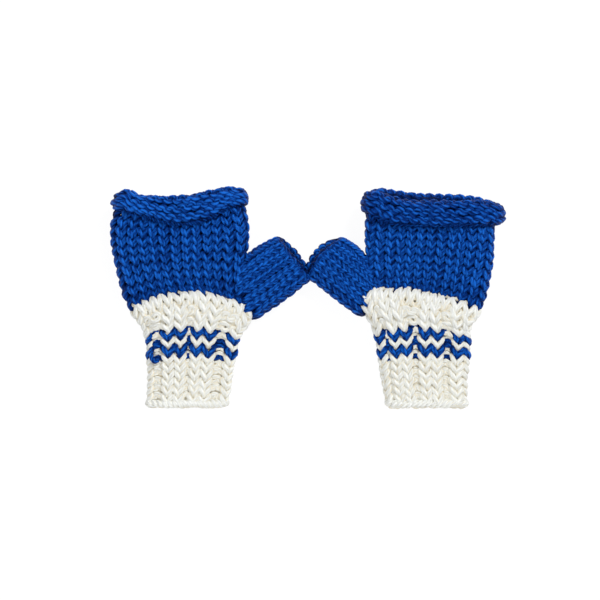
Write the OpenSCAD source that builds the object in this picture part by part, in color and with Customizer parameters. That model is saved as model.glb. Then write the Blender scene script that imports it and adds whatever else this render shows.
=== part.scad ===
// A pair of hand-knitted fingerless mittens, lying flat with the palms down.
// Millimetres. +X runs across the pair, +Y from the cuffs to the fingers, +Z up from the
// surface they lie on. The origin is on that surface, at the middle of the pair.
// Each mitten is drawn in its own frame, with its thumb towards +X and the middle of its
// cast-on edge at 0,0, and is then put in place.

/* [Fabric] */
// Thickness of the knitted fabric
wall = 4.8; // [3.5:0.1:5.2]
// Height of one knitted round in the cuff
round_h = 6; // [5:0.1:7]
// How square the flattened tubes are: 2 is an ellipse
squareness = 2.6; // [2:0.1:3.5]

/* [Cuff] */
// Width of the cuff at its cast-on edge
cuff_w = 57; // [52:1:64]
// Height of the rib below the stripes
rib_h = 36; // [30:1:42]
// Height of the white fabric between the stripes and the hand
cuff_top_h = 25; // [20:1:28]
// Height of the cast-on edge
cast_on_h = 4.4; // [3:0.2:6]

/* [Hand] */
// Width of the hand tube of the left mitten
palm_w = 95; // [86:1:102]
// How much narrower the hand of the right mitten is
right_ease = 3; // [0:0.5:5]
// Height of the hand tube from the cuff to the rolled edge
hand_h = 51; // [46:1:57]
// How far the rolled edge stands out of the hand tube
roll_out = 5.8; // [3.8:0.5:6.3]
// Height of the rolled edge
roll_h = 14; // [12:0.5:16]
// How far the thumb side of the rolled edge is higher than its middle
roll_tilt = 3.4; // [0:0.2:5]

/* [Thumb] */
// Width of the thumb tube at its tip
thumb_w = 38; // [34:1:40]
// Distance from the left thumb's root to its tip, along its middle
thumb_l = 36; // [34:1:40]
// Angle of the left thumb above the line across the cuff
thumb_angle = 35; // [30:1:38]
// How far the right thumb is turned up more than the left one, in degrees
right_lift = 4; // [0:1:6]
// How much shorter the right thumb is
right_short = 2; // [0:0.5:4]

/* [Motion] */
// Free space between pieces that move against each other
play = 0.5; // [0.4:0.1:1]
// Distance between the middles of the two cuffs
pair_pitch = 168; // [168:1:200]

/* [Hidden] */
LEFT = 0;
RIGHT = 1;

BLUE = [0.03, 0.24, 0.66];
WHITE = [0.93, 0.92, 0.87];
RING = 32;              // points round a tube

wrist_y = rib_h + 3 * round_h;
hand_y = wrist_y + cuff_top_h;
top_y = hand_y + hand_h;
end_y = top_y + roll_h;
back_reach = 2.8;       // how far the back of the rolled edge reaches past the middle
yarn_end_r = 1.5;
yarn_end_l = 22;
yarn_end_clear = 1;     // how far a woven-in end stays off the fabric under it
chain_r = 1.6;          // half the thickness of the bind-off chain

// The outline of a mitten, by height: how far it has flared from the cuff's width to the
// palm's, and how far its middle sways towards the thumb on the left and right mittens.
OUTLINE = [
    [0, 0, 0, -0.5],
    [rib_h, 0.15, 1.2, 0.9],
    [wrist_y, 0.28, 2, 1.9],
    [wrist_y + 12, 0.53, 2.2, 2.4],
    [wrist_y + 26, 0.8, -0.6, 1.2],
    [wrist_y + 44, 0.93, -4.4, -1.2],
    [wrist_y + 62, 1, -6.6, -2.4],
    [top_y, 0.88, -6.4, -4.4],
    [end_y, 0.82, -5.6, -6.2]
];

// By height: half the thickness, the height of the middle, how far a round's ends droop
// below its middle, and how far the rounds follow the tilt and reach of the rolled edge.
SECTION = [
    [0, 8.4, 7.9, 0, 0],
    [rib_h, 8.8, 8.3, 0, 0],
    [wrist_y, 9.2, 8.7, 5.5, 0],
    [hand_y, 10, 9.5, 8, 0.1],
    [hand_y + 20, 11, 10.5, 5, 0.35],
    [top_y - 12, 10.8, 11.6, 2, 0.7],
    [top_y, 8.8, 13.7, 0, 1],
    [end_y, 8.2, 13.9, 0, 1]
];

// ---- tables and sections ----

function slope(t, i) =
    let (a = max(0, i - 1), b = min(len(t) - 1, i + 1)) (t[b] - t[a]) / (t[b][0] - t[a][0]);
function row_below(t, y) = max([0, for (k = [1:len(t) - 2]) if (y > t[k][0]) k]);
// A table's values at y, on a smooth curve through its rows
function at(t, y) =
    let (
        i = row_below(t, y),
        h = t[i + 1][0] - t[i][0],
        u = (y - t[i][0]) / h
    )
    t[i] * (2 * pow(u, 3) - 3 * u * u + 1) + slope(t, i) * h * (pow(u, 3) - 2 * u * u + u)
    + t[i + 1] * (3 * u * u - 2 * pow(u, 3)) + slope(t, i + 1) * h * (pow(u, 3) - u * u);
function mix(a, b, t) = a + (b - a) * t;
function spread(a, b, n) = [for (i = [0:n - 1]) mix(a, b, i / (n - 1))];
function signed_pow(v, p) = sign(v) * pow(abs(v), p);

// A station is [middle, direction across, half width, half thickness, middle height, droop,
// tilt, reach]. The tube runs at a right angle to the direction across.
function sleeve_station(side, y) =
    let (
        o = at(OUTLINE, y),
        s = at(SECTION, y),
        palm = palm_w - side * right_ease,
        cuff = cuff_w + side
    )
    [[o[2 + side], y], [1, 0], mix(cuff, palm, o[1]) / 2, s[1], s[2], s[3],
     roll_tilt * s[4], back_reach * s[4]];

// The thumb's root is the line down the hand's side from the crotch to the heel, and its
// tip is square to its own angle. t is 0 at the root and 1 at the tip.
function thumb_lean(side) = thumb_angle + side * right_lift;
function thumb_reach(side) = thumb_l - side * right_short;
function root_middle(side) = [43.5 + side, wrist_y + 28.5 + side * 2];
function root_lean(side) = 9 - side * 4;
function tip_middle(side) =
    root_middle(side) + thumb_reach(side) * [cos(thumb_lean(side)), sin(thumb_lean(side))];
function thumb_station(side, t) =
    let (
        lean = mix(root_lean(side), thumb_lean(side), t),
        half = mix(22 - side, (thumb_w - side) / 2, t)
    )
    [mix(root_middle(side), tip_middle(side), t), [sin(lean), -cos(lean)], half,
     mix(9.2, 8.4, t), mix(8.7, 7.9, t), 0, 0, 1.2 * max(0, t)];

// The points round a station, moved out of the fabric's outer face by out
function ring(st, out) = [
    for (i = [0:RING - 1])
        let (
            a = 360 * i / RING,
            u = signed_pow(cos(a), 2 / squareness),
            w = signed_pow(sin(a), 2 / squareness),
            across = st[1],
            along = [-across[1], across[0]],
            p = st[0] + across * u * (st[2] + out)
                + along * (st[6] * u - st[5] * u * u - st[7] * w)
        )
        [p[0], p[1], max(0, st[4] + w * (st[3] + out))]
];

// ---- solids ----

function joined(lists) = [for (l = lists) each l];
// The faces of a tube between ring a and ring b, which start at those points
function wall_faces(a, b) =
    joined([for (i = [0:RING - 1])
        let (j = (i + 1) % RING) [[a + i, b + j, b + i], [a + i, a + j, b + j]]]);
// The same, split along the other diagonal. A tube's last face is split like the first
// face of the tube that it meets, so the two touch all over.
function end_faces(a, b) =
    joined([for (i = [0:RING - 1])
        let (j = (i + 1) % RING) [[a + i, a + j, b + i], [b + i, a + j, b + j]]]);

// A knitted tube from its first station to its last. outs is how far each station's outer
// face stands proud of the plain tube, and inside is how far its inner face does.
module tube(stations, outs, inside = -wall) {
    n = len(stations);
    outer = [for (k = [0:n - 1]) ring(stations[k], outs[k])];
    inner = [for (k = [0:n - 1]) ring(stations[k], inside)];
    polyhedron(
        points = joined(concat(outer, inner)),
        faces = joined(concat(
            [for (k = [0:n - 2]) wall_faces(k * RING, (k + 1) * RING)],
            [for (k = [0:n - 2]) wall_faces((n + k + 1) * RING, (n + k) * RING)],
            [wall_faces(n * RING, 0), end_faces((n - 1) * RING, (2 * n - 1) * RING)]
        ))
    );
}

// The same tube filled in, with its faces moved out by out
module core(stations, out) {
    n = len(stations);
    middle = function(st) [st[0][0], st[0][1], st[4]];
    ends = [middle(stations[0]), middle(stations[n - 1])];
    polyhedron(
        points = concat(joined([for (st = stations) ring(st, out)]), ends),
        faces = joined([
            joined([for (k = [0:n - 2]) wall_faces(k * RING, (k + 1) * RING)]),
            [for (i = [0:RING - 1]) [n * RING, (i + 1) % RING, i]],
            [for (i = [0:RING - 1])
                [n * RING + 1, (n - 1) * RING + i, (n - 1) * RING + (i + 1) % RING]]
        ])
    );
}

function sleeve(side, low, high, n) = [for (y = spread(low, high, n)) sleeve_station(side, y)];
function thumb(side, low, high, n) = [for (t = spread(low, high, n)) thumb_station(side, t)];
function plain(n) = [for (i = [1:n]) 0];

// ---- one mitten's pieces ----

fold_t = 0.34;          // where on the thumb its fold lies
thumb_edge_t = 0.87;
CUFF_TOP_RINGS = 5;
HAND_RINGS = 8;

function cuff_top_sleeve(side) = sleeve(side, wrist_y, hand_y, CUFF_TOP_RINGS);
function hand_sleeve(side) = sleeve(side, hand_y, top_y, HAND_RINGS);
// The cuff's top and the hand as one run of stations, with the shared one taken once
function body_sleeve(side) =
    concat(cuff_top_sleeve(side), [for (k = [1:HAND_RINGS - 1]) hand_sleeve(side)[k]]);

module cast_on_edge(side) {
    color(WHITE) tube(sleeve(side, 0, cast_on_h, 4), [0, 0.9, 0.9, 0]);
}
module cuff_rib(side) {
    color(WHITE) tube(sleeve(side, cast_on_h, rib_h - play, 4), plain(4));
}
module stripe_round(side, index, tint) {
    low = rib_h + index * round_h;
    color(tint) tube(sleeve(side, low, low + round_h, 2), plain(2));
}
module cuff_top(side) {
    color(WHITE) tube(cuff_top_sleeve(side), plain(CUFF_TOP_RINGS));
}
module hand_tube(side) {
    color(BLUE) difference() {
        tube(hand_sleeve(side), plain(HAND_RINGS));
        core(thumb(side, -0.5, fold_t, 4), -wall);
    }
}
// The rolled edge is the end of the hand tube curled outwards on itself, which makes a
// thick ring with a round outer face.
module rolled_edge(side) {
    n = 7;
    rise = [for (i = [0:n - 1]) roll_out * sqrt(max(0, 1 - pow(2 * i / (n - 1) - 1, 2)))];
    color(BLUE) tube(sleeve(side, top_y, end_y, n), rise);
}
// The bind-off chain is the curl's last round. It lies round the hand under the curl.
module bind_off_chain(side) {
    high = top_y - 0.4;
    color(BLUE) tube(
        sleeve(side, high - 2 * chain_r, high, 3),
        [1.2 * chain_r + play, 2 * chain_r + play, 1.2 * chain_r + play],
        play
    );
}
module thumb_gusset(side) {
    color(BLUE) difference() {
        tube(thumb(side, -0.4, fold_t, 5), plain(5));
        core(body_sleeve(side), 0.1);
    }
}
module thumb_tube(side) {
    color(BLUE) tube(thumb(side, fold_t + play / thumb_l, thumb_edge_t, 4), plain(4));
}
module thumb_edge(side) {
    color(BLUE) tube(thumb(side, thumb_edge_t, 1, 4), [0, 1.1, 1.1, 0]);
}

// A woven-in yarn end, which lies along the inside of the lower fabric at a station, at
// a distance x from the station's middle
module yarn_end(st, x, turn, tint) {
    bore = st[2] - wall;
    floor_z = st[4] - (st[3] - wall) * pow(1 - pow(abs(x) / bore, squareness), 1 / squareness);
    place = [st[0][0] + x, st[0][1], floor_z + yarn_end_r + yarn_end_clear];
    color(tint) translate(place) rotate([0, 0, turn]) {
        rotate([0, 90, 0]) cylinder(r = yarn_end_r, h = yarn_end_l, center = true, $fn = 24);
        for (end = [-1, 1])
            translate([end * yarn_end_l / 2, 0, 0]) sphere(r = yarn_end_r, $fn = 24);
    }
}
module cast_on_yarn_end(side) {
    yarn_end(sleeve_station(side, rib_h / 2 - 1), -17, 90, WHITE);
}
module stripe_yarn_end(side) {
    yarn_end(sleeve_station(side, wrist_y - 2), -19, 94, BLUE);
}
module bind_off_yarn_end(side) {
    yarn_end(sleeve_station(side, top_y - 26), -29, 92, BLUE);
}
module thumb_yarn_end(side) {
    yarn_end(sleeve_station(side, hand_y + 14), 30, 84, BLUE);
}

// ---- the pair ----

// The middle of the pair's length, from its cast-on edges to its rolled edges
pair_y = max([for (p = ring(sleeve_station(LEFT, end_y), 0)) p[1]]) / 2;
// The left hand is the wider one, so the pair's middle lies this far to the left of the
// point midway between the cuffs
pair_x = 1;

module in_place(side) {
    translate([pair_x, 0, 0]) mirror([side, 0, 0])
        translate([-pair_pitch / 2, -pair_y, 0]) children();
}

module left_cast_on_edge() in_place(LEFT) cast_on_edge(LEFT);
module left_cuff_rib() in_place(LEFT) cuff_rib(LEFT);
module left_lower_stripe() in_place(LEFT) stripe_round(LEFT, 0, BLUE);
module left_white_round() in_place(LEFT) stripe_round(LEFT, 1, WHITE);
module left_upper_stripe() in_place(LEFT) stripe_round(LEFT, 2, BLUE);
module left_cuff_top() in_place(LEFT) cuff_top(LEFT);
module left_hand_tube() in_place(LEFT) hand_tube(LEFT);
module left_rolled_edge() in_place(LEFT) rolled_edge(LEFT);
module left_bind_off_chain() in_place(LEFT) bind_off_chain(LEFT);
module left_thumb_gusset() in_place(LEFT) thumb_gusset(LEFT);
module left_thumb_tube() in_place(LEFT) thumb_tube(LEFT);
module left_thumb_edge() in_place(LEFT) thumb_edge(LEFT);
module left_cast_on_yarn_end() in_place(LEFT) cast_on_yarn_end(LEFT);
module left_stripe_yarn_end() in_place(LEFT) stripe_yarn_end(LEFT);
module left_bind_off_yarn_end() in_place(LEFT) bind_off_yarn_end(LEFT);
module left_thumb_yarn_end() in_place(LEFT) thumb_yarn_end(LEFT);

module right_cast_on_edge() in_place(RIGHT) cast_on_edge(RIGHT);
module right_cuff_rib() in_place(RIGHT) cuff_rib(RIGHT);
module right_lower_stripe() in_place(RIGHT) stripe_round(RIGHT, 0, BLUE);
module right_white_round() in_place(RIGHT) stripe_round(RIGHT, 1, WHITE);
module right_upper_stripe() in_place(RIGHT) stripe_round(RIGHT, 2, BLUE);
module right_cuff_top() in_place(RIGHT) cuff_top(RIGHT);
module right_hand_tube() in_place(RIGHT) hand_tube(RIGHT);
module right_rolled_edge() in_place(RIGHT) rolled_edge(RIGHT);
module right_bind_off_chain() in_place(RIGHT) bind_off_chain(RIGHT);
module right_thumb_gusset() in_place(RIGHT) thumb_gusset(RIGHT);
module right_thumb_tube() in_place(RIGHT) thumb_tube(RIGHT);
module right_thumb_edge() in_place(RIGHT) thumb_edge(RIGHT);
module right_cast_on_yarn_end() in_place(RIGHT) cast_on_yarn_end(RIGHT);
module right_stripe_yarn_end() in_place(RIGHT) stripe_yarn_end(RIGHT);
module right_bind_off_yarn_end() in_place(RIGHT) bind_off_yarn_end(RIGHT);
module right_thumb_yarn_end() in_place(RIGHT) thumb_yarn_end(RIGHT);

left_cast_on_edge();
left_cuff_rib();
left_lower_stripe();
left_white_round();
left_upper_stripe();
left_cuff_top();
left_hand_tube();
left_rolled_edge();
left_bind_off_chain();
left_thumb_gusset();
left_thumb_tube();
left_thumb_edge();
left_cast_on_yarn_end();
left_stripe_yarn_end();
left_bind_off_yarn_end();
left_thumb_yarn_end();
right_cast_on_edge();
right_cuff_rib();
right_lower_stripe();
right_white_round();
right_upper_stripe();
right_cuff_top();
right_hand_tube();
right_rolled_edge();
right_bind_off_chain();
right_thumb_gusset();
right_thumb_tube();
right_thumb_edge();
right_cast_on_yarn_end();
right_stripe_yarn_end();
right_bind_off_yarn_end();
right_thumb_yarn_end();
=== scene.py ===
"""A pair of hand-knitted fingerless mittens, lying flat and seen from above.

Every round of knitting is a real length of plied yarn, bent into the loops of its stitches
and laid along the mitten's fabric. Sizes are in millimetres until a mesh is made. Where a
value is given for both mittens, the left one comes first.
"""
import math

import bpy
import numpy as np
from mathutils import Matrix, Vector


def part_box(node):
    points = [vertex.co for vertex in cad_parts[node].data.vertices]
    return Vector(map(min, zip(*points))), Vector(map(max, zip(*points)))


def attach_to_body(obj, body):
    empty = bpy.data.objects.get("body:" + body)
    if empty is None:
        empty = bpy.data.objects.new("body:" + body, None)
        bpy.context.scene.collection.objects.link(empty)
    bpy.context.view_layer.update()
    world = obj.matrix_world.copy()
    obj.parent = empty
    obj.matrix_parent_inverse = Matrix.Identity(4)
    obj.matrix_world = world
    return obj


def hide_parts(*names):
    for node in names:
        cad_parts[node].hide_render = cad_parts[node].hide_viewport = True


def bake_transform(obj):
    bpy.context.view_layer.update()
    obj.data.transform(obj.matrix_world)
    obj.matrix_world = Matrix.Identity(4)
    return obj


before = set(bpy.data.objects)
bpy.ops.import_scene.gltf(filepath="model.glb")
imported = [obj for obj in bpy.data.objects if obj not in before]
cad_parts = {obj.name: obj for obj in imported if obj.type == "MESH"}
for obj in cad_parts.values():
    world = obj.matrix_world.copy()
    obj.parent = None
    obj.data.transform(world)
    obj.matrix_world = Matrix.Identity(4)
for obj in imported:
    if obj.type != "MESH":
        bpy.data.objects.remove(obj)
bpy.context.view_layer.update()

MM = 0.001
TAU = 2 * math.pi
SIDES = {"left": 0, "right": 1}
FLIP = (1, -1)          # the right mitten is drawn mirrored

# ---- sizes of a mitten, in its own frame: +X towards the thumb, +Y to the fingers ----

CAST_ON_V = 1.6         # height of the cast-on edge's rope
RIB_H = 36.0            # height of the rib below the stripes
STRIPE_H = 6.0          # height of a stripe's round
WRIST_Y = RIB_H + 3 * STRIPE_H      # where the white top of the cuff starts
HAND_Y = 79.0           # where the blue hand starts
RIB_ROUNDS = 6
TOP_ROUNDS = 4          # in the white top of the cuff
HAND_ROUNDS = 9
ROLL_ROUNDS = 7
HALF_FABRIC = 2.7       # from the fabric's middle to its outer face
HAND_SQUARENESS = 2.8       # of a flattened ring: 2 is an ellipse
THUMB_SQUARENESS = 2.5

FABRIC_STEP = 0.75      # between the rows of points that describe a fabric
FABRIC_START = -3.0     # its first row in the cuff
HAND_RING = 360         # its points round the hand
THUMB_RING = 240
THUMB_START = -14.0     # the thumb's first row, inside the hand's edge
HAND_WAVES = 0.6        # the usual unevenness of the hand's lie
THUMB_WAVES = 0.45
HAND_WAVE_SEED = 5
THUMB_WAVE_SEED = 15
CURL_FADE = 20.0        # how far below the curl the unevenness starts to fade
EDGE_FADE = 12.0        # how far above the fabric's start it is whole

# By height: the outer and the thumb edge of the left mitten, then those of the right one.
EDGES = np.array([
    [-4, -29.3, 29.3, -30, 29],
    [0, -29.3, 29.3, -30, 29],
    [20, -28.6, 32, -29, 32],
    [36, -29.2, 34, -30.6, 34],
    [45, -29.7, 35.5, -31.5, 35],
    [54, -30.3, 36.5, -32, 36],
    [60, -31.5, 38.5, -31.5, 37.5],
    [67, -34.5, 42.5, -33.5, 42],
    [74, -38.5, 45, -37, 44.8],
    [84, -44.5, 43.5, -41.5, 44],
    [99, -49.5, 42, -45, 43.5],
    [118, -53.3, 43.3, -48, 43.2],
    [129, -52.6, 42, -48.5, 42.5],
    [140, -45.5, 38, -48.5, 40.5],
])
# By height: half the thickness and the height of the middle. Then, for the left and the
# right mitten: how far a round's ends droop below its middle, how far its thumb side is
# above its middle, and half of how far its upper layer is below its lower one.
SECTION = np.array([
    [-4, 8.2, 9.0, 0, 0, 0, 0, 0, 0],
    [0, 8.6, 9.2, 0, 0, 0, 0, 0, 0],
    [36, 9.2, 9.9, 2, 2, 0, 0.3, 0, 0],
    [54, 9.8, 10.4, 5.5, 5, 0, 1.5, 0, 0],
    [66, 11.2, 11.8, 9, 6, 0, 4.5, 0, 0],
    [75, 10.4, 11.1, 11, 5.5, 0, 6.3, 0, 0],
    [80, 8.8, 9.7, 11, 5.3, 0, 6.5, 0, 0],
    [86, 8.4, 9.3, 9, 5, 0.3, 5, 0.2, 0.2],
    [96, 9.2, 10.3, 5, 4, 1, 3.5, 0.4, 0.6],
    [107, 10.6, 11.9, 1, 2.5, 1.5, 2.5, 0.6, 1.1],
    [118, 11.0, 13.0, -1, 1.5, 2, 1.8, 0.8, 1.6],
    [130, 9.0, 14.4, -3, 0, 1.6, 1.5, 0.8, 2.4],
    [141, 8.2, 15.0, -4, 0, 1.2, 1.5, 0.8, 2.4],
])
ROLL_V = [130.5, 128.5]     # where the rolled edge's own rounds start
CURL_V = [141.0, 138.0]     # where the fabric leaves the plane of the hand and curls
CURL_LENGTH = 28.0          # how much fabric is in the curl
CURL_END = 4.9              # how far it turns, in radians
CURL_EASE = 17.0            # how far below the curl the rounds begin to follow its line
CURL_OUT = 3.5              # half the curl's height out of the fabric
CURL_TUCK = 3.6             # how far from the hand its end lies
BACK_CURL = [3.0, 4.6]      # half the length of the lower layer's curl

# The rolled edge from the outer side, u = -1, to the thumb's side, u = 1: the heights of
# its lower and its upper boundary, and of the rim of the lower layer behind it.
ROLL = [np.array([
    [-1.0, 136.0, 150.0, 148.0],
    [-0.93, 134.5, 152.0, 149.0],
    [-0.8, 132.8, 148.4, 146.0],
    [-0.65, 131.0, 147.4, 145.6],
    [-0.35, 126.8, 147.0, 145.6],
    [0.0, 125.2, 147.6, 146.1],
    [0.3, 126.4, 149.6, 148.1],
    [0.6, 131.5, 151.6, 150.1],
    [0.82, 136.5, 153.4, 151.8],
    [1.0, 139.0, 153.0, 151.0],
]), np.array([
    [-1.0, 125.0, 141.5, 142.5],
    [-0.8, 124.2, 143.6, 145.2],
    [-0.4, 124.0, 143.4, 147.2],
    [0.0, 124.3, 143.2, 147.6],
    [0.4, 124.5, 144.0, 149.0],
    [0.7, 125.5, 146.8, 151.1],
    [0.88, 128.0, 149.5, 152.2],
    [1.0, 131.5, 149.0, 150.0],
])]

# A thumb goes from the middle of its root towards its tip. Its lean is the slope of its
# rounds, half is half its width, and round_tip is how far the tip's corners lie behind its
# middle. Angles are in degrees.
THUMBS = [
    dict(root=(44.5, 82.0), way=35.7, length=38.2, root_lean=9, tip_lean=39.5,
         root_half=22.8, tip_half=19.3, round_tip=0.5),
    dict(root=(45.3, 84.1), way=38.7, length=37.4, root_lean=5, tip_lean=43,
         root_half=21.8, tip_half=19.0, round_tip=4.4),
]
THUMB_THICK = 8.7       # half its thickness at the root
THUMB_TAPER = 0.1       # how much less that is at the tip
THUMB_Z = 9.4           # the height of its middle
THUMB_SINK = 1.5        # how fast the part inside the hand sinks, by its length
THUMB_BACK = 1.5        # how far the upper layer's end lies behind the middle's
FOLD_T = 0.34           # where its gusset ends, from the root, 0, to the tip, 1


def on_curve(table, y):
    """A table's values at each y, on a smooth curve through its rows."""
    x, rows = table[:, 0], table[:, 1:]
    y = np.clip(y, x[0], x[-1])
    lo = np.r_[0, np.arange(len(x) - 1)]
    hi = np.r_[np.arange(1, len(x)), len(x) - 1]
    m = (rows[hi] - rows[lo]) / (x[hi] - x[lo])[:, None]
    i = np.clip(np.searchsorted(x, y, side="right") - 1, 0, len(x) - 2)
    h = (x[i + 1] - x[i])[:, None]
    u = ((y - x[i])[:, None]) / h
    return (rows[i] * (2 * u**3 - 3 * u**2 + 1) + m[i] * h * (u**3 - 2 * u**2 + u)
            + rows[i + 1] * (3 * u**2 - 2 * u**3) + m[i + 1] * h * (u**3 - u**2))


def signed_power(v, p):
    """A power that keeps its base's sign."""
    return np.sign(v) * np.abs(v) ** p


def even_ring(half, thick, count, square):
    """Points u, w evenly spaced round a flattened ring, from its top middle towards +u, and
    the ring's length."""
    fine = 2048
    a = math.pi / 2 - TAU * np.arange(fine + 1) / fine
    u = signed_power(np.cos(a), 2 / square)
    w = signed_power(np.sin(a), 2 / square)
    step = np.hypot(np.diff(u * half), np.diff(w * thick))
    along = np.r_[0, np.cumsum(step)]
    want = along[-1] * np.arange(count) / count
    return np.interp(want, along, u), np.interp(want, along, w), along[-1]


class Fabric:
    """The middle surface of a tube of knitting: v is the height along the fabric and s goes
    once round it, from 0 at the middle of the upper layer."""

    def __init__(self, v, points, lengths):
        self.v0, self.dv = v[0], v[1] - v[0]
        self.points = points
        self.lengths = lengths
        rows, ring = points.shape[:2]
        ds = np.roll(points, -1, axis=1) - np.roll(points, 1, axis=1)
        dv = np.gradient(points, axis=0)
        n = np.cross(ds, dv)
        n /= np.linalg.norm(n, axis=2, keepdims=True)
        self.normals = n
        self.rows, self.ring = rows, ring

    def _read(self, grid, v, s):
        """A grid's values at each v and s, in between its rows and points."""
        x = np.clip((v - self.v0) / self.dv, 0, self.rows - 1.001)
        y = np.mod(s, 1.0) * self.ring
        i = x.astype(int)
        j = y.astype(int) % self.ring
        k = (j + 1) % self.ring
        fx, fy = (x - i)[:, None], (y - y.astype(int))[:, None]
        return ((grid[i, j] * (1 - fy) + grid[i, k] * fy) * (1 - fx)
                + (grid[i + 1, j] * (1 - fy) + grid[i + 1, k] * fy) * fx)

    def at(self, v, s):
        """The surface's points and its normals at each v and s."""
        n = self._read(self.normals, v, s)
        n /= np.linalg.norm(n, axis=1, keepdims=True)
        return self._read(self.points, v, s), n

    def length(self, v):
        """The way round the tube at v."""
        i = int(np.clip((v - self.v0) / self.dv, 0, self.rows - 1))
        return self.lengths[i]


def waves(v, s, seed, size):
    """Slow unevenness of hand-made fabric over a grid of v and s: a sum of long waves, whose
    usual height is about the size."""
    r = np.random.default_rng(seed)
    total = np.zeros((len(v), len(s)))
    usual = 2.6         # height of a sum of this many waves
    for _ in range(7):
        turns = r.integers(1, 7)
        along = r.uniform(0.03, 0.13)
        total += r.normal() * np.sin(
            TAU * turns * s[None, :] + along * v[:, None] + r.uniform(0, TAU))
    return size * total / usual


def curl_line(side, u, w):
    """Along a ring of points, the height at which the curl starts, and half its length."""
    low, high, rim = on_curve(ROLL[side], u).T
    front = (1 + w) / 2         # 1 on the upper layer, 0 on the lower one
    back_start = rim - BACK_CURL[side] - HALF_FABRIC
    start = front * (low + high) / 2 + (1 - front) * back_start
    half = front * ((high - low) / 2 - HALF_FABRIC) + (1 - front) * BACK_CURL[side]
    return start, half


def curl_turns(half, size):
    """How far each point of a ring has turned, and how much of the curl it has then used:
    a table for each point, so that the stitches can be spread evenly along the curl."""
    steps = 120
    last = CURL_END + 0.6       # the table goes on a little past the curl's end
    turns = np.linspace(0, last, steps + 1)[:, None]
    pace = np.hypot(half * np.cos(turns), CURL_OUT * size * np.sin(turns))
    used = np.cumsum(pace, axis=0)
    used /= used[round(steps * CURL_END / last)]
    return turns[:, 0], used


def curl_outwards(points, v, side, u, w, s):
    """Bends the rows above the line CURL_V outwards on themselves."""
    base = int(np.searchsorted(v, CURL_V[side]))
    start, half = curl_line(side, u, w)
    shift = start - points[base, :, 1]
    ease = np.clip((v - CURL_V[side] + CURL_EASE) / CURL_EASE, 0, 1) ** 2
    points[:, :, 1] += ease[:, None] * shift
    across = np.roll(points[base], -1, axis=0) - np.roll(points[base], 1, axis=0)
    out = np.cross(across, np.array([0, 1.0, 0]))
    out /= np.linalg.norm(out, axis=1, keepdims=True)
    # The curl is uneven, and flatter on the thumb's side
    uneven = 1 + 0.06 * np.sin(TAU * 3 * s + 1.3 * side) + 0.05 * np.sin(TAU * 7 * s + 2)
    size = uneven * (1 - 0.3 * np.clip(2 * u - 1, 0, 1) ** 2)
    turns, used = curl_turns(half, size)
    for i in range(base, len(v)):
        part = (v[i] - CURL_V[side]) / CURL_LENGTH
        turn = np.array([np.interp(part, used[:, j], turns) for j in range(len(s))])
        tuck = np.where(turn > math.pi, CURL_TUCK, 0)
        rise = tuck + (2 * CURL_OUT - tuck) * (1 - np.cos(turn)) / 2
        points[i] = points[base] + out * (size * rise)[:, None]
        points[i, :, 1] += half * np.sin(turn)


def hand_fabric(side):
    """The cuff and hand as one tube, whose end curls outwards on itself."""
    spare = 2.0         # rows beyond the curl's end, for the bind-off chain
    v = np.arange(FABRIC_START, CURL_V[side] + CURL_LENGTH + spare, FABRIC_STEP)
    s = np.arange(HAND_RING) / HAND_RING
    flat_v = np.minimum(v, CURL_V[side])
    edges = on_curve(EDGES, flat_v)
    outer, inner = edges[:, 2 * side], edges[:, 2 * side + 1]
    sect = on_curve(SECTION, flat_v)
    points = np.zeros((len(v), HAND_RING, 3))
    lengths = np.zeros(len(v))
    for i in range(len(v)):
        half = (inner[i] - outer[i]) / 2 - HALF_FABRIC
        thick = sect[i, 0] - HALF_FABRIC
        u, w, lengths[i] = even_ring(half, thick, HAND_RING, HAND_SQUARENESS)
        droop, tilt, reach = sect[i, 2 + side], sect[i, 4 + side], sect[i, 6 + side]
        points[i, :, 0] = (inner[i] + outer[i]) / 2 + u * half
        points[i, :, 1] = flat_v[i] + tilt * u - droop * u * u - reach * (1 + 0.5 * u) * w
        points[i, :, 2] = sect[i, 1] + w * thick
    curl_outwards(points, v, side, u, w, s)
    # The unevenness is less at the cast-on edge, and there is none in the curl
    fade_top = np.clip((CURL_V[side] - v) / CURL_FADE, 0, 1)
    fade_bottom = np.clip((v - FABRIC_START) / EDGE_FADE, 0.3, 1)
    fade = (fade_top * fade_bottom)[:, None]
    bump = waves(v, s, HAND_WAVE_SEED + side, HAND_WAVES) * fade
    normals = Fabric(v, points, lengths).normals
    return Fabric(v, points + normals * bump[:, :, None], lengths)


def thumb_fabric(side):
    """The thumb as a tube from inside the hand's edge to its tip; v is 0 at the root."""
    shape = THUMBS[side]
    spare = 4.0         # rows beyond the tip, for its last round's heads
    v = np.arange(THUMB_START, shape["length"] + spare, FABRIC_STEP)
    s = np.arange(THUMB_RING) / THUMB_RING
    way = math.radians(shape["way"])
    points = np.zeros((len(v), THUMB_RING, 3))
    lengths = np.zeros(len(v))
    for i in range(len(v)):
        t = v[i] / shape["length"]
        lean = math.radians(shape["root_lean"] + (shape["tip_lean"] - shape["root_lean"]) * t)
        across = np.array([math.sin(lean), -math.cos(lean)])
        along = np.array([math.cos(lean), math.sin(lean)])
        half = shape["root_half"] + (shape["tip_half"] - shape["root_half"]) * t - HALF_FABRIC
        thick = THUMB_THICK - THUMB_TAPER * t - HALF_FABRIC
        u, w, lengths[i] = even_ring(half, thick, THUMB_RING, THUMB_SQUARENESS)
        mid = np.array(shape["root"]) + v[i] * np.array([math.cos(way), math.sin(way)])
        back = max(0, t) * (THUMB_BACK * w + shape["round_tip"] * u * u)
        points[i, :, :2] = mid + across * (u * half)[:, None] - along * back[:, None]
        points[i, :, 2] = THUMB_Z + min(0.0, THUMB_SINK * t) + w * thick
    bump = waves(v, s, THUMB_WAVE_SEED + side, THUMB_WAVES)
    normals = Fabric(v, points, lengths).normals
    return Fabric(v, points + normals * bump[:, :, None], lengths)


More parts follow.
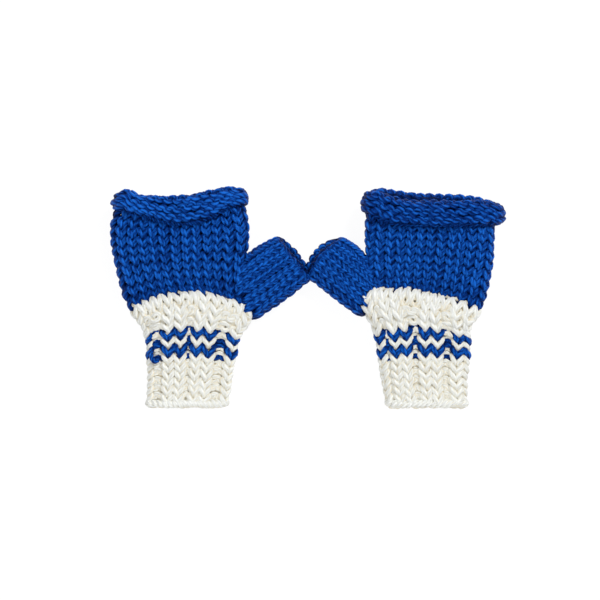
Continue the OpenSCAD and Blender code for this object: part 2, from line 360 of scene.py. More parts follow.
# ---- yarn ----

YARN_SIDES = 20         # corners of a yarn's cross-section, an even number
PLIES = 4
PLY_DEPTH = 0.075       # the depth of the grooves between the plies, by the yarn's radius
TWIST = 0.05            # turns of the plies in a millimetre
FULL_STAND = 2.8        # how far the outermost fibres are from the fabric's middle
EDGE_STAND = 0.75       # the share of it that an edge's or a free yarn's fibres all count as having, which limits how dark their painted shade gets


def across_and_lift(path, up, closed):
    """At each point of a path, the directions across it and up from it."""
    if closed:
        tangent = np.roll(path, -1, axis=0) - np.roll(path, 1, axis=0)
    else:
        tangent = np.gradient(path, axis=0)
    tangent /= np.linalg.norm(tangent, axis=1, keepdims=True)
    across = np.cross(tangent, up)
    across /= np.linalg.norm(across, axis=1, keepdims=True)
    return across, np.cross(across, tangent)


def tube_faces(n, m, closed):
    """A tube's quads, between n rings of m points."""
    i = np.arange(n if closed else n - 1)[:, None]
    j = np.arange(m)[None]
    k = (i + 1) % n
    j2 = (j + 1) % m
    quads = np.stack([i * m + j, k * m + j, k * m + j2, i * m + j2], axis=2)
    return quads.reshape(-1, 4)


class Skein:
    """Collects one mitten's tubes of yarn, to make one mesh of them."""

    def __init__(self, side):
        self.side = side
        self.points, self.yarn, self.depth, self.faces = [], [], [], []
        self.count = 0

    def add(self, path, up, radius, closed, depth, least=0.0, tone=1.0):
        """A tube along a path. up is the fabric's normal there, and depth tells how far
        each point stands out of the fabric's middle, which sets its painted shade: yarn that
        lies far inside the fabric is painted darker. least is the least that any of its
        fibres counts as standing out, which limits that painted shade. A tone below 1 paints
        the yarn darker still, as more painted shade."""
        n, m = len(path), YARN_SIDES
        across, lift = across_and_lift(path, up, closed)
        step = np.linalg.norm(np.diff(path, axis=0), axis=1)
        along = np.r_[0, np.cumsum(step)]
        total = along[-1] + (np.linalg.norm(path[0] - path[-1]) if closed else 0)
        # The yarn of both mittens is plied the same way, so the mirrored one turns back
        turns = round(total * TWIST * FLIP[self.side])
        spin = TAU * turns * along / total
        angle = TAU * np.arange(m) / m
        lobe = 1 + PLY_DEPTH * np.cos(PLIES * (angle[None] - spin[:, None]))
        r = np.broadcast_to(radius, (n,))[:, None] * lobe
        ring = (path[:, None] + lift[:, None] * (r * np.cos(angle))[:, :, None]
                + across[:, None] * (r * np.sin(angle))[:, :, None])
        self.points.append(ring.reshape(-1, 3))
        # How far along the yarn, how far round it, and a number of this tube's own
        marks = np.zeros((n, m, 3))
        marks[:, :, 0] = along[:, None]
        marks[:, :, 1] = (angle[None] - spin[:, None]) / TAU
        marks[:, :, 2] = self.count * 0.37 % 1
        self.yarn.append(marks.reshape(-1, 3))
        # Painted shade: yarn near the fabric's middle gets a low stand, which the wool paints
        # darker, and a tone below 1 darkens it more
        tone = np.broadcast_to(tone, (n,))[:, None]
        stand = tone * np.abs(depth[:, None] + r * np.cos(angle)) / FULL_STAND
        self.depth.append(np.maximum(stand, least).reshape(-1))
        self.faces.append(tube_faces(n, m, closed) + self.count)
        if not closed:
            last = self.count + (n - 1) * m
            self._cap(self.count, path[0], marks[0, 0], depth[0], False)
            self._cap(last, path[-1], marks[-1, 0], depth[-1], True)
        self.count = sum(len(p) for p in self.points)

    def _cap(self, first, point, mark, depth, end):
        """Closes one end of a tube with a fan to its middle, as quads."""
        m = YARN_SIDES
        centre = sum(len(p) for p in self.points)
        self.points.append(point[None])
        self.yarn.append(mark[None])
        self.depth.append(np.array([depth]))
        j = np.arange(0, m, 2)
        a, b, c = first + j, first + (j + 1) % m, first + (j + 2) % m
        mid = np.full(len(j), centre)
        quads = np.stack([mid, c, b, a] if end else [mid, a, b, c], axis=1)
        self.faces.append(quads)


# ---- the columns of a round ----

# Where the rib's purl columns lie on the upper layer, as (middle, width) in millimetres
# from the fabric's middle towards the thumb, at the wrist and at the top of the cuff.
PURLS = [([(-24.5, 8.0), (-1.8, 2.4), (21.2, 7.4)], [(-28.5, 19.0), (1.7, 11.4), (30.2, 15.6)]),
         ([(-17.0, 6.5), (6.0, 4.3), (25.6, 2.4)], [(-16.5, 7.0), (7.7, 19.5), (33.2, 3.5)])]
RIB_V = WRIST_Y - 4     # up to here, the way round the rib is taken as what it is here
PAIR_W = 17.4           # width of a pair of knit columns at the wrist
PAIR_LOSS = 2.4         # how much narrower it is at the top of the cuff
PURL_W = 6.5            # width of a purl column, of which a wider gap takes several
KIND_EASE = 0.16        # how much of a column the change between knit and purl takes


def even_columns(count, phase):
    """The edges of a round's columns, as fractions of the way round. phase is the first."""
    return np.arange(count + 1) / count + phase


def rib_columns(side, fabric, v):
    """The edges and kinds of the rib's columns: pairs of knit columns with purl ones in
    between, which open out and are increased towards the top of the cuff. The lower
    layer's purl columns share evenly what the upper layer leaves."""
    around = fabric.length(max(v, RIB_V))
    f = np.clip((v - WRIST_Y) / (HAND_Y - WRIST_Y), 0, 1)
    low, high = PURLS[side]
    purls = [tuple((1 - f) * np.array(a) + f * np.array(b)) for a, b in zip(low, high)]
    pair = PAIR_W - PAIR_LOSS * f
    start = purls[2][0] + purls[2][1] / 2
    end = purls[0][0] - purls[0][1] / 2 + around
    spare = (end - start - 4 * pair) / 3
    purls += [(start + (k + 1) * pair + (k + 0.5) * spare, spare) for k in range(3)]
    edges, kinds = [], []
    for k, (mid, width) in enumerate(purls):
        count = max(1, round(width / PURL_W))
        following = purls[(k + 1) % 6]
        a = mid + width / 2
        b = following[0] - following[1] / 2 + (around if k == 5 else 0)
        edges += [mid - width / 2 + width * q / count for q in range(count)]
        edges += [a, (a + b) / 2]
        kinds += [-1] * count + [1, 1]
    edges.append(edges[0] + around)
    return np.array(edges) / around, kinds


def smooth_kind(kinds, x):
    """A column's kind, 1 for knit and -1 for purl, easing over at the columns' edges.
    x counts columns."""
    n = len(kinds)
    j = np.floor(x).astype(int)
    f = x - j
    here = kinds[j % n]
    before, after = kinds[(j - 1) % n], kinds[(j + 1) % n]
    low = np.clip(0.5 + f / KIND_EASE / 2, 0, 1)
    high = np.clip(0.5 + (1 - f) / KIND_EASE / 2, 0, 1)
    return here * np.minimum(low, high) + np.where(
        f < 0.5, before * (1 - low), after * (1 - high))


# ---- stitches ----

# How each kind of fabric's stitches are drawn: how far the loops sway, how much more the
# left leg does, how close the legs stand together, how far the loops reach up and down, how
# deep they go through the fabric, how thick the yarn is, how much plumper its legs are
# than its heads, and how much plumper the left leg is than the right one.
HAND_STITCH = dict(sway=1.75, skew=0.35, pinch=0.05, reach=0.72, depth=1.05, r=1.88,
                   plump=0.07, lead=0.045)
THUMB_STITCH = dict(sway=1.45, skew=0.25, pinch=0.045, reach=0.85, depth=1.15, r=1.7,
                    plump=0.07, lead=0.03)
CUFF_STITCH = dict(sway=1.95, skew=0.14, pinch=0.0, reach=0.8, depth=0.95, r=1.66,
                   plump=0.07, lead=0.0)
TOP_STITCH = dict(sway=1.75, skew=0.2, pinch=0.03, reach=0.84, depth=1.05, r=1.82,
                  plump=0.07, lead=0.03)
ROLL_STITCH = dict(sway=1.8, skew=0.2, pinch=0.0, reach=0.75, depth=1.25, r=1.92,
                   plump=-0.08, lead=0.0)
RIM_STITCH = dict(ROLL_STITCH, depth=1.7, r=2.15, plump=-0.16)

# The usual error of hand knitting, by stitch: its place along the round, in columns, the
# share of its sway, its reach in rounds, and its height and how far it stands out
UNEVEN = dict(shift=0.025, sway=0.07, reach=0.05, height=0.28, stand=0.2)
PER_STITCH = 24         # points along a stitch's yarn
FELTING = 0.2           # how much thicker the yarn is on the lower layer
LEAD_STAND = 3.5        # how much a leg that is plumper by its own radius stands out
KNIT_RISE = 0.15        # how much the knit columns rise, by how far the purl ones sink in
PURL_BLUR = 8           # points on both sides, over which a purl column sinks in
SHORTEST_RUN = 6        # points of yarn that are worth drawing beside a gap


def on_lower_layer(s, middle, slope):
    """0 on the upper layer and 1 on the lower one, easing over in between."""
    return np.clip(middle - slope * np.cos(TAU * s), 0, 1)


def wandering(edges, side, size, rand):
    """A round's column edges, moved. They wander slowly, in the same way in all of a
    fabric's rounds, and each one has a small error of its own."""
    n = len(edges) - 1
    turn = TAU * np.arange(n) / n
    wander = 0.06 * np.sin(5 * turn + 1) + 0.05 * np.sin(9 * turn + 2 + side)
    shift = (wander + size * rand.normal(size=n)) / n
    return edges + np.r_[shift, shift[0]]


def sunk_purls(is_purl, recess):
    """How far a round's points stand out, with the purl ones sunk in between the others."""
    base = np.where(is_purl, -recess, KNIT_RISE * recess)
    if not recess:
        return base
    window = np.ones(2 * PURL_BLUR + 1) / (2 * PURL_BLUR + 1)
    wrapped = np.r_[base[-PURL_BLUR:], base, base[:PURL_BLUR]]
    return np.convolve(wrapped, window, "valid")


def knit_round(skein, fabric, v, row_h, edges, kinds, stitch, seed, recess=0.0, loose=1.0,
               gap=None, puff=0.0, heads=None, tone=1.0, back_tone=1.0):
    """One round of knitting. edges are its columns' edges, kinds are 1 for a knit column
    and -1 for a purl one, recess is how far the purl columns sink in, puff is how far the
    round stands out, gap is a stretch of s that it leaves out, and heads is the kind of
    the round above, where it is another one than this round's own. tone is painted shade
    on the yarn, darker below 1, and back_tone is how much of the tone is left on the
    lower layer, painted shade that darkens that layer."""
    mirror = FLIP[skein.side]
    seed += 100 * skein.side
    rand = np.random.default_rng(seed)
    n = len(kinds)
    edges = wandering(edges, skein.side, UNEVEN["shift"] * loose, rand)
    kinds = np.array(kinds, float)
    t = np.arange(n * PER_STITCH) / PER_STITCH

    def per_stitch(size):
        """A random amount for each stitch, which is none at the round's two ends."""
        amount = np.r_[0, rand.normal(size=n - 1), 0] * size * loose
        return np.interp(t, np.arange(n + 1), amount)

    # A stitch starts and ends below, and its loop is at its top halfway
    j = np.floor(t).astype(int)
    a = TAU * (t - j)
    sway = (stitch["sway"] * (1 + UNEVEN["sway"] * loose * rand.normal(size=n)))[j]
    lean = (sway + stitch["skew"] * mirror * np.sin(a)) * np.sin(2 * a)
    x = (a + lean) / TAU + stitch["pinch"] * np.sin(a)
    s = edges[j] + x * (edges[j + 1] - edges[j])
    reach = stitch["reach"] + per_stitch(UNEVEN["reach"])
    height = v + per_stitch(UNEVEN["height"]) - reach * row_h * np.cos(a)
    kind = smooth_kind(kinds, t)
    if heads is not None:
        above = np.clip((-np.cos(a) - 0.2) / 0.5, 0, 1)
        kind = kind * (1 - above) + heads * above
    lead = stitch["lead"] * np.sin(a) * mirror
    stand = (LEAD_STAND * lead - stitch["depth"] * np.cos(2 * a)) * kind
    base = sunk_purls(kinds[j] < 0, recess)
    place, normal = fabric.at(height, s)
    out = puff + base + stand + per_stitch(UNEVEN["stand"])
    path = place + normal * out[:, None]
    # Legs and heads differ, and the spun yarn is uneven by itself
    plump = 1 + lead - stitch["plump"] * np.cos(2 * a)
    spun = 1 + 0.03 * np.sin(t * 2.1 + seed) + 0.025 * np.sin(t * 5.3)
    felted = 1 + FELTING * on_lower_layer(s, 0.5, 0.9)
    radius = stitch["r"] * plump * spun * felted
    # Painted shade: the lower layer keeps only back_tone of the tone, so it is darker
    tone = tone * (1 - (1 - back_tone) * on_lower_layer(s, 0.5, 2))
    for run in runs_beside(gap, s):
        skein.add(path[run], normal[run], radius[run], gap is None, stand[run], tone=tone[run])


def runs_beside(gap, s):
    """The unbroken runs of a round's points that lie outside its gap."""
    count = len(s)
    if gap is None:
        return [np.arange(count)]
    low, high = gap
    kept = np.flatnonzero(np.mod(s - low, 1.0) >= high - low)
    # The list starts after the gap, so that a run isn't cut at the round's start
    start = np.argmax(np.diff(np.r_[kept[-1] - count, kept]))
    kept = np.roll(kept, -start)
    runs = np.split(kept, np.flatnonzero(np.mod(np.diff(kept), count) != 1) + 1)
    return [run for run in runs if len(run) > SHORTEST_RUN]


def thumb_side_gap(open_by):
    """A gap at the thumb's side of a round, that much of the way round to both sides."""
    middle = 0.25
    return (middle - open_by, middle + open_by) if open_by else None


def rope(skein, fabric, v, turns, r_twist, r):
    """Two strands twisted round each other along a fabric's edge."""
    per_turn = 14
    strands = 2
    n = turns * per_turn
    s = np.arange(n) / n
    for k in range(strands):
        a = TAU * (turns * s + k / strands)
        # Made by hand, so it is neither quite straight nor quite even
        wobble = 0.3 * np.sin(TAU * 5 * s + k) + 0.2 * np.sin(TAU * 13 * s + 2 * k)
        place, normal = fabric.at(v + wobble + r_twist * np.cos(a), s)
        stand = r_twist * np.sin(a)
        path = place + normal * stand[:, None]
        radius = r * (1 + 0.06 * np.sin(TAU * 7 * s + k))
        skein.add(path, normal, radius, True, stand, EDGE_STAND)


def strand(skein, points, r):
    """A free length of yarn on a smooth curve through some points."""
    per_point = 10
    last = len(points) - 1
    table = np.c_[np.arange(last + 1), np.array(points, float)]
    path = on_curve(table, np.linspace(0, last, last * per_point + 1))
    up = np.tile([0.0, 0.0, 1.0], (len(path), 1))
    skein.add(path, up, r, False, np.ones(len(path)), EDGE_STAND)


# ---- materials ----

FIBRES_AROUND = 1.9     # how fine the fibres are round the yarn
FIBRES_ALONG = 0.16     # and along it, where they are long
TUBES_APART = 37.0      # how far apart in the noise two tubes' fibres are
FIBRE_TONE = 1.25       # how much the fibres change the tone
STRETCH_TONE = 0.3      # how much the tone changes slowly along the yarn
PLY_GROOVE_SHADE = 0.36         # how much lighter the plies' tops are than their grooves: painted shade in the grooves
FIBRE_RELIEF = 0.9      # the fibres' share in the bump
PLY_RELIEF = 0.25       # the plies' share in it


def math_node(tree, kind, *values):
    """The result of a math node, whose inputs are numbers or other nodes' results."""
    node = tree.nodes.new("ShaderNodeMath")
    node.operation = kind
    for socket, value in zip(node.inputs, values):
        if isinstance(value, (int, float)):
            socket.default_value = value
        else:
            tree.links.new(value, socket)
    return node.outputs[0]


def attribute(tree, name):
    """A mesh attribute's node."""
    node = tree.nodes.new("ShaderNodeAttribute")
    node.attribute_name = name
    return node


def noise(tree, place, scale, detail, rough):
    """Noise from 0 to 1, read at a place."""
    node = tree.nodes.new("ShaderNodeTexNoise")
    node.inputs["Scale"].default_value = scale
    node.inputs["Detail"].default_value = detail
    node.inputs["Roughness"].default_value = rough
    tree.links.new(place, node.inputs["Vector"])
    return node.outputs["Fac"]


def fibres(tree, along, around, tube):
    """Noise that is long along the yarn and fine round it, another one in each tube."""
    angle = math_node(tree, "MULTIPLY", around, TAU)
    place = tree.nodes.new("ShaderNodeCombineXYZ")
    for kind, axis in (("COSINE", "X"), ("SINE", "Y")):
        turned = math_node(tree, kind, angle)
        fine = math_node(tree, "MULTIPLY", turned, FIBRES_AROUND)
        tree.links.new(fine, place.inputs[axis])
    far = math_node(tree, "MULTIPLY", tube, TUBES_APART)
    length = math_node(tree, "MULTIPLY", along, FIBRES_ALONG)
    tree.links.new(math_node(tree, "ADD", length, far), place.inputs["Z"])
    return noise(tree, place.outputs[0], 1.5, 4, 0.62)


def ply_tops(tree, around):
    """1 on top of a ply and 0 in the groove between two."""
    wave = math_node(tree, "COSINE", math_node(tree, "MULTIPLY", around, TAU * PLIES))
    return math_node(tree, "MULTIPLY_ADD", wave, 0.5, 0.5)


def wool_tone_and_painted_shade(tree, stand, shades):
    """The place on the colour ramp, painted shade and painted light: from 0, far inside the
    fabric, where the wool is painted darker, to 1, where it stands out and is painted lighter.
    shades are more patterns about 0.5, each with its weight."""
    # Painted shade: the less the wool stands out, the darker its colour
    tone = math_node(tree, "MULTIPLY_ADD", math_node(tree, "POWER", stand, 1.5), 0.55, 0.1)
    for pattern, weight in shades:
        centred = math_node(tree, "SUBTRACT", pattern, 0.5)
        tone = math_node(tree, "ADD", tone, math_node(tree, "MULTIPLY", centred, weight))
    return tone


def tone_colours(tree, tone, painted_shade_colour, body, painted_light_colour):
    """The wool's colour for each tone: painted shade at the low end, the wool's own colour
    in the middle, and painted light at the high end.
    """
    ramp = tree.nodes.new("ShaderNodeValToRGB")
    stops = ramp.color_ramp.elements
    stops[0].position = 0.12
    stops[0].color = (*painted_shade_colour, 1)
    stops[1].position = 0.95
    stops[1].color = (*painted_light_colour, 1)
    middle = stops.new(0.5)
    middle.color = (*body, 1)
    tree.links.new(tone, ramp.inputs["Fac"])
    return ramp.outputs["Color"]


def wool_bump(tree, fibre, ply):
    """The relief of the fibres and of the plies' grooves."""
    height = math_node(tree, "ADD", math_node(tree, "MULTIPLY", fibre, FIBRE_RELIEF),
                       math_node(tree, "MULTIPLY", ply, PLY_RELIEF))
    bump = tree.nodes.new("ShaderNodeBump")
    bump.inputs["Strength"].default_value = 0.75
    bump.inputs["Distance"].default_value = 0.0006
    tree.links.new(height, bump.inputs["Height"])
    return bump.outputs["Normal"]


def wool(name, painted_shade_colour, body, painted_light_colour, rough, gloss, gloss_tint):
    """Smooth plied wool: fine fibres along the plies, darker between the stitches by painted
    shade, and lighter by painted light where the yarn stands out most.
    """
    material = bpy.data.materials.new(name)
    material.use_nodes = True
    tree = material.node_tree
    yarn = attribute(tree, "yarn").outputs["Vector"]
    # stand carries painted shade: the colour is darker where the yarn lies far inside the
    # fabric
    stand = attribute(tree, "stand").outputs["Fac"]
    parts = tree.nodes.new("ShaderNodeSeparateXYZ")
    tree.links.new(yarn, parts.inputs[0])
    along, around, tube = parts.outputs
    fibre = fibres(tree, along, around, tube)
    ply = ply_tops(tree, around)
    stretch = noise(tree, yarn, 0.09, 2, 0.5)
    shades = [(fibre, FIBRE_TONE), (stretch, STRETCH_TONE), (ply, PLY_GROOVE_SHADE)]
    tone = wool_tone_and_painted_shade(tree, stand, shades)
    shader = tree.nodes["Principled BSDF"]
    tree.links.new(tone_colours(tree, tone, painted_shade_colour, body, painted_light_colour), shader.inputs["Base Color"])
    tree.links.new(wool_bump(tree, fibre, ply), shader.inputs["Normal"])
    shader.inputs["Roughness"].default_value = rough
    shader.inputs["Specular IOR Level"].default_value = gloss
    shader.inputs["Specular Tint"].default_value = (*gloss_tint, 1)
    return material


# Each wool's first colour is painted shade between the stitches, warm on the white wool, its
# second is its own colour, and its third is painted light on the yarn that stands out most
WOOLS = {
    "blue_wool": wool("blue_wool", painted_shade_colour=(0.0001, 0.004, 0.036), body=(0.0006, 0.024, 0.18),
                      painted_light_colour=(0.009, 0.135, 0.62), rough=0.48, gloss=0.1,
                      gloss_tint=(0.25, 0.5, 1.0)),
    "white_wool": wool("white_wool", painted_shade_colour=(0.76, 0.70, 0.555), body=(0.79, 0.80, 0.755),
                       painted_light_colour=(0.875, 0.885, 0.87), rough=0.6, gloss=0.2,
                       gloss_tint=(1.0, 1.0, 1.0)),
}

# ---- one mitten ----

LOWEST = 0.05           # the height at which the lowest loops lie pressed flat


def box_mm(node):
    """A CAD node's lowest and highest corner, in millimetres."""
    low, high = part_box(node)
    return np.array(low) / MM, np.array(high) / MM


def offset(name):
    """Where a mitten's own frame starts, from its packed cast-on edge."""
    side = SIDES[name]
    low, high = box_mm(name + "_cast_on_edge")
    outer, inner = EDGES[0, 1 + 2 * side], EDGES[0, 2 + 2 * side]
    own_middle = (outer + inner) / 2
    return (low[0] + high[0]) / 2 - FLIP[side] * own_middle, low[1]


OFFSETS = [offset(name) for name in SIDES]


def yarn_object(name, skein, material):
    """A skein's tubes as one object in the row frame."""
    ox, oy = OFFSETS[skein.side]
    points = np.concatenate(skein.points)
    points[:, 0] = FLIP[skein.side] * points[:, 0] + ox
    points[:, 1] += oy
    points[:, 2] = np.maximum(points[:, 2], LOWEST)
    points *= MM
    faces = np.concatenate(skein.faces)
    if FLIP[skein.side] > 0:
        # The faces are made inside out, as mirroring the right mitten needs them
        faces = faces[:, ::-1]
    mesh = bpy.data.meshes.new(name)
    mesh.vertices.add(len(points))
    mesh.vertices.foreach_set("co", points.astype(np.float32).ravel())
    mesh.loops.add(faces.size)
    mesh.loops.foreach_set("vertex_index", faces.astype(np.int32).ravel())
    mesh.polygons.add(len(faces))
    mesh.polygons.foreach_set("loop_start", np.arange(0, faces.size, 4, dtype=np.int32))
    mesh.update(calc_edges=True)
    mesh.polygons.foreach_set("use_smooth", np.ones(len(faces), dtype=bool))
    marks = mesh.attributes.new("yarn", "FLOAT_VECTOR", "POINT")
    marks.data.foreach_set("vector", np.concatenate(skein.yarn).astype(np.float32).ravel())
    # Painted shade of each point, which the wool's colour reads
    stand = mesh.attributes.new("stand", "FLOAT", "POINT")
    stand.data.foreach_set("value", np.concatenate(skein.depth).astype(np.float32))
    mesh.validate()
    mesh.materials.append(material)
    obj = bpy.data.objects.new(name, mesh)
    bpy.context.scene.collection.objects.link(obj)
    return obj


class Mitten:
    """What the parts of one mitten share: its two fabrics, its bodies and its place."""

    def __init__(self, name):
        self.name = name
        self.side = SIDES[name]
        self.hand = hand_fabric(self.side)
        self.thumb = thumb_fabric(self.side)
        self.thumb_length = THUMBS[self.side]["length"]
        self.hand_columns = even_columns(HAND_COLUMNS, 0.004 + 0.01 * self.side)
        self.main_body = name + "_mitten"
        self.cuff_body = name + "_cuff"
        self.thumb_body = name + "_thumb"

    def piece(self, part, skein, slot, share=""):
        """Makes a skein's tubes, all of a part's yarn or a share of it, into an object in
        place of the part's plain solid."""
        obj = yarn_object(f"{self.name}_{part}{share}_yarn", skein, WOOLS[slot])
        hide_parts(f"{self.name}_{part}")
        return obj

    def ride(self, obj):
        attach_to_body(obj, self.main_body)

    def bend_cuff(self, obj):
        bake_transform(obj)

    def bend_thumb(self, obj):
        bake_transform(obj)

    def rib_round(self, skein, v, row_h, seed, recess=1.4, plain=False, **more):
        """A round on the rib's columns, which are all knit if it is plain."""
        edges, kinds = rib_columns(self.side, self.hand, v)
        if plain:
            kinds = [1] * len(kinds)
        knit_round(skein, self.hand, v, row_h, edges, kinds, seed=seed, recess=recess, **more)


# ---- its parts ----

HAND_COLUMNS = 26
THUMB_COLUMNS = 14
SEEDS = dict(rib=1, stripes=11, top=21, hand=51, roll=71, thumb=91)     # of the first rounds
STRIPES = [("lower_stripe", "blue_wool"), ("white_round", "white_wool"),
           ("upper_stripe", "blue_wool")]
STRIPE_LOOKS = {"blue_wool": dict(r=1.88, puff=0.15), "white_wool": dict(r=1.6, puff=-0.3)}
# The left mitten's first loop of stripe yarn, which hangs out below its round
HANGING_LOOP = [(-25.2, 38, 14.8), (-25.0, 35.4, 17.1), (-24.0, 32.6, 18.1),
                (-22.2, 31.2, 18.5), (-20.6, 32.0, 16.6)]
TOP_RECESS = 0.4        # how far the first round's purl columns sink in
TOP_RISE = 0.45         # how much less each further round's do
HAND_GAPS = (0.03, 0.03, 0.015)     # the share of the first rounds left out, to both sides
HAND_DIP_SHADES = (0.8, 0.88)            # painted shade: the first rounds lie in a dip and are painted darker
HAND_SPLIT = 5          # rounds in the lower one of the hand's two objects
# Painted shade on the rolled edge: darker on the right mitten, and darker still on the lower
# layer
ROLL_SHADES = (0.93, 0.8)
ROLL_BACK_SHADE = 0.8
SHADED_ROUNDS = (0, 1, 3)           # those whose loops show inside the opening, where the lower layer gets painted shade
# Painted shade: how much tone the lower layer keeps inside the opening
OPENING_BACK_SHADE = 0.25
THUMB_ROUNDS = 9
THUMB_ROUND_H = 5.3
THUMB_GAP = 0.03        # the share left out, for each millimetre inside the hand's edge
LAST_TO_TIP = 4.0       # how far the thumb's last round is from its tip
EDGE_TO_TIP = 1.4       # and how far its edge's rope is
TAIL_WAVE = [0, 0.5, -0.6, 0.5, -0.4, 0.3, 0]       # how a woven-in end weaves sideways


def cast_on_edge(mitten):
    skein = Skein(mitten.side)
    rope(skein, mitten.hand, CAST_ON_V, turns=17, r_twist=1.3, r=1.8)
    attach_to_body(mitten.piece("cast_on_edge", skein, "white_wool"), mitten.cuff_body)


def cuff_rib(mitten):
    skein = Skein(mitten.side)
    row_h = (RIB_H - CAST_ON_V) / RIB_ROUNDS
    for k in range(RIB_ROUNDS):
        mitten.rib_round(skein, CAST_ON_V + (k + 0.5) * row_h, row_h, SEEDS["rib"] + k,
                         stitch=CUFF_STITCH, loose=1.3)
    mitten.bend_cuff(mitten.piece("cuff_rib", skein, "white_wool"))


def stripes(mitten):
    """A blue round, a white one and a blue one."""
    for k, (part, slot) in enumerate(STRIPES):
        skein = Skein(mitten.side)
        look = STRIPE_LOOKS[slot]
        mitten.rib_round(skein, RIB_H + (k + 0.5) * STRIPE_H, STRIPE_H, SEEDS["stripes"] + k,
                         stitch=dict(CUFF_STITCH, r=look["r"]), puff=look["puff"])
        if part == "lower_stripe" and mitten.name == "left":
            strand(skein, HANGING_LOOP, r=1.7)
        mitten.bend_cuff(mitten.piece(part, skein, slot))


def cuff_top(mitten):
    """The white top of the cuff, which widens by increases in its purl columns. Its last
    round is all knit, so the loops of the one before pass behind it."""
    skein = Skein(mitten.side)
    row_h = (HAND_Y - WRIST_Y) / TOP_ROUNDS
    for k in range(TOP_ROUNDS):
        mitten.rib_round(skein, WRIST_Y + (k + 0.5) * row_h, row_h, SEEDS["top"] + k,
                         recess=TOP_RECESS - TOP_RISE * k, plain=k == TOP_ROUNDS - 1,
                         stitch=TOP_STITCH, loose=1.5, puff=0.5,
                         heads=1.0 if k == TOP_ROUNDS - 2 else None)
    mitten.ride(mitten.piece("cuff_top", skein, "white_wool"))


def hand_tube(mitten):
    """The hand, whose first rounds leave out the stitches that the thumb takes up."""
    lower, upper = Skein(mitten.side), Skein(mitten.side)
    row_h = (ROLL_V[mitten.side] - HAND_Y) / HAND_ROUNDS
    for k in range(HAND_ROUNDS):
        open_by = HAND_GAPS[k] if k < len(HAND_GAPS) else 0
        # The first rounds get painted shade, as they lie in a dip
        knit_round(lower if k < HAND_SPLIT else upper, mitten.hand, HAND_Y + (k + 0.5) * row_h,
                   row_h, mitten.hand_columns, [1] * HAND_COLUMNS, HAND_STITCH,
                   SEEDS["hand"] + k, gap=thumb_side_gap(open_by),
                   puff=-0.5 if k == 0 else 0.0,
                   tone=HAND_DIP_SHADES[k] if k < len(HAND_DIP_SHADES) else 1.0)
    for share, skein in (("_lower", lower), ("_upper", upper)):
        mitten.ride(mitten.piece("hand_tube", skein, "blue_wool", share))


def rolled_edge(mitten):
    """The rounds in the curl: two more like the hand's, the rim, and the purl side's."""
    skein = Skein(mitten.side)
    start = ROLL_V[mitten.side]
    row_h = (CURL_V[mitten.side] + CURL_LENGTH - start) / ROLL_ROUNDS
    stitches = [HAND_STITCH, HAND_STITCH, RIM_STITCH] + [ROLL_STITCH] * (ROLL_ROUNDS - 3)
    for k, stitch in enumerate(stitches):
        # Painted shade: the rolled edge is darker, and its lower layer darkest where it shows
        # inside the opening
        knit_round(skein, mitten.hand, start + (k + 0.5) * row_h, row_h, mitten.hand_columns,
                   [1] * HAND_COLUMNS, stitch, SEEDS["roll"] + k, loose=1.4,
                   tone=ROLL_SHADES[mitten.side],
                   back_tone=OPENING_BACK_SHADE if k in SHADED_ROUNDS else ROLL_BACK_SHADE)
    mitten.ride(mitten.piece("rolled_edge", skein, "blue_wool"))


def bind_off_chain(mitten):
    skein = Skein(mitten.side)
    end = CURL_V[mitten.side] + CURL_LENGTH
    rope(skein, mitten.hand, end, turns=26, r_twist=1.0, r=1.35)
    mitten.ride(mitten.piece("bind_off_chain", skein, "blue_wool"))


def thumb_rounds(mitten):
    """The thumb's gusset and tube. The rounds inside the hand's edge leave out the heel."""
    gusset, tube = Skein(mitten.side), Skein(mitten.side)
    columns = even_columns(THUMB_COLUMNS, 0.02)
    last_v = mitten.thumb_length - LAST_TO_TIP
    for k, v in enumerate(last_v - THUMB_ROUND_H * np.arange(THUMB_ROUNDS)[::-1]):
        open_by = -THUMB_GAP * v if v < 0 else 0
        knit_round(gusset if v < FOLD_T * mitten.thumb_length else tube, mitten.thumb, v,
                   THUMB_ROUND_H, columns, [1] * THUMB_COLUMNS, THUMB_STITCH,
                   SEEDS["thumb"] + k, gap=thumb_side_gap(open_by))
    mitten.bend_thumb(mitten.piece("thumb_gusset", gusset, "blue_wool"))
    mitten.bend_thumb(mitten.piece("thumb_tube", tube, "blue_wool"))


def thumb_edge(mitten):
    skein = Skein(mitten.side)
    end = mitten.thumb_length - EDGE_TO_TIP
    rope(skein, mitten.thumb, end, turns=7, r_twist=0.5, r=1.9)
    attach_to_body(mitten.piece("thumb_edge", skein, "blue_wool"), mitten.thumb_body)


def yarn_ends(mitten):
    """The woven-in yarn ends, each inside the lower fabric."""
    ox, oy = OFFSETS[mitten.side]
    last = len(TAIL_WAVE) - 1
    tails = [("cast_on_yarn_end", "white_wool", mitten.bend_cuff),
             ("stripe_yarn_end", "blue_wool", mitten.bend_cuff),
             ("bind_off_yarn_end", "blue_wool", mitten.ride),
             ("thumb_yarn_end", "blue_wool", mitten.ride)]
    for part, slot, attach in tails:
        low, high = box_mm(f"{mitten.name}_{part}")
        x = FLIP[mitten.side] * ((low[0] + high[0]) / 2 - ox)
        z = (low[2] + high[2]) / 2
        start, end = low[1] - oy, high[1] - oy
        line = []
        for i, wave in enumerate(TAIL_WAVE):
            line.append((x + wave, start + (end - start) * i / last, z))
        skein = Skein(mitten.side)
        strand(skein, line, r=1.35)
        attach(mitten.piece(part, skein, slot))


for side_name in SIDES:
    one = Mitten(side_name)
    cast_on_edge(one)
    cuff_rib(one)
    stripes(one)
    cuff_top(one)
    hand_tube(one)
    rolled_edge(one)
    bind_off_chain(one)
    thumb_rounds(one)
    thumb_edge(one)
    yarn_ends(one)

# ---- floor, light and camera ----

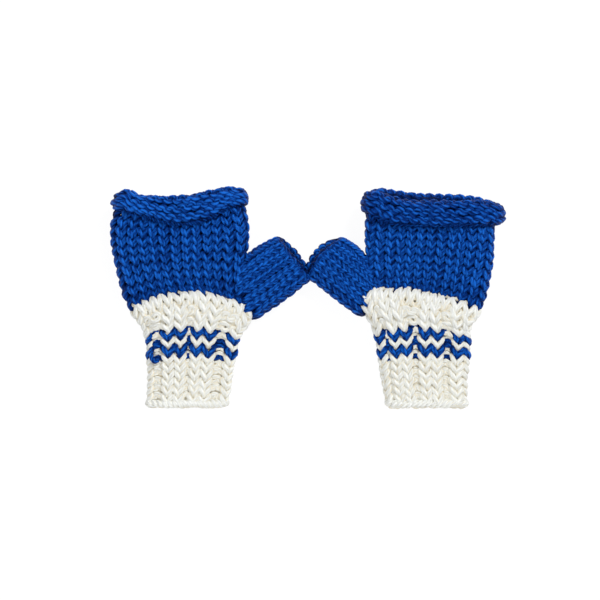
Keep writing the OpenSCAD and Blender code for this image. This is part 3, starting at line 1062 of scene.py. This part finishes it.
FLOOR_REACH = 3.0       # metres to each side
PAPER_GREY = 0.1
PAPER_GLOW = 0.93       # the paper is lit from below, as on a light table
SKY_STRENGTH = 0.48
FACE_Z = 0.018          # height of the mittens' upper faces, in metres
VIEW_W = 0.420          # how much of them the picture takes in, in metres
CAMERA_PLACE = (-0.0037, -0.0002, 1.6)
SENSOR_W = 36


def make_floor():
    """A sheet of paper that lights up evenly."""
    r = FLOOR_REACH
    mesh = bpy.data.meshes.new("floor")
    mesh.from_pydata([(-r, -r, 0), (r, -r, 0), (r, r, 0), (-r, r, 0)], [], [(0, 1, 2, 3)])
    sheet = bpy.data.objects.new("floor", mesh)
    bpy.context.scene.collection.objects.link(sheet)
    paper = bpy.data.materials.new("paper")
    paper.use_nodes = True
    shader = paper.node_tree.nodes["Principled BSDF"]
    shader.inputs["Base Color"].default_value = (PAPER_GREY, PAPER_GREY, PAPER_GREY, 1)
    shader.inputs["Roughness"].default_value = 0.9
    shader.inputs["Specular IOR Level"].default_value = 0.0
    shader.inputs["Emission Color"].default_value = (1, 1, 1, 1)
    shader.inputs["Emission Strength"].default_value = PAPER_GLOW
    mesh.materials.append(paper)
    return sheet


def make_world():
    """Even white light from all sides."""
    world = bpy.data.worlds.new("studio")
    bpy.context.scene.world = world
    world.use_nodes = True
    background = world.node_tree.nodes["Background"]
    background.inputs["Color"].default_value = (1, 1, 1, 1)
    background.inputs["Strength"].default_value = SKY_STRENGTH


def soft_light(name, place, size, power):
    """A rectangular lamp that faces the middle of the pair. Places are in metres."""
    light = bpy.data.lights.new(name, "AREA")
    light.shape = "RECTANGLE"
    light.size, light.size_y = size
    light.energy = power
    lamp = bpy.data.objects.new(name, light)
    lamp.location = place
    lamp.rotation_euler = (-Vector(place)).to_track_quat("-Z", "Y").to_euler()
    bpy.context.scene.collection.objects.link(lamp)


def make_camera():
    """Looks straight down on the pair."""
    lens = bpy.data.cameras.new("camera")
    lens.sensor_width = SENSOR_W
    lens.lens = SENSOR_W * (CAMERA_PLACE[2] - FACE_Z) / VIEW_W
    camera = bpy.data.objects.new("camera", lens)
    camera.location = CAMERA_PLACE
    camera.rotation_euler = (0, 0, 0)
    bpy.context.scene.collection.objects.link(camera)
    bpy.context.scene.camera = camera


floor = make_floor()
make_world()
soft_light("key", (1.3, 1.65, 1.9), (0.78, 0.78), 50)       # from the upper right
soft_light("fill", (-1.0, 0.35, 1.1), (0.8, 0.8), 4.5)
soft_light("cuff", (0.0, -0.36, 0.3), (0.7, 0.2), 0.75)     # low, in front of the cuffs
make_camera()
bpy.context.scene.view_settings.view_transform = "Standard"
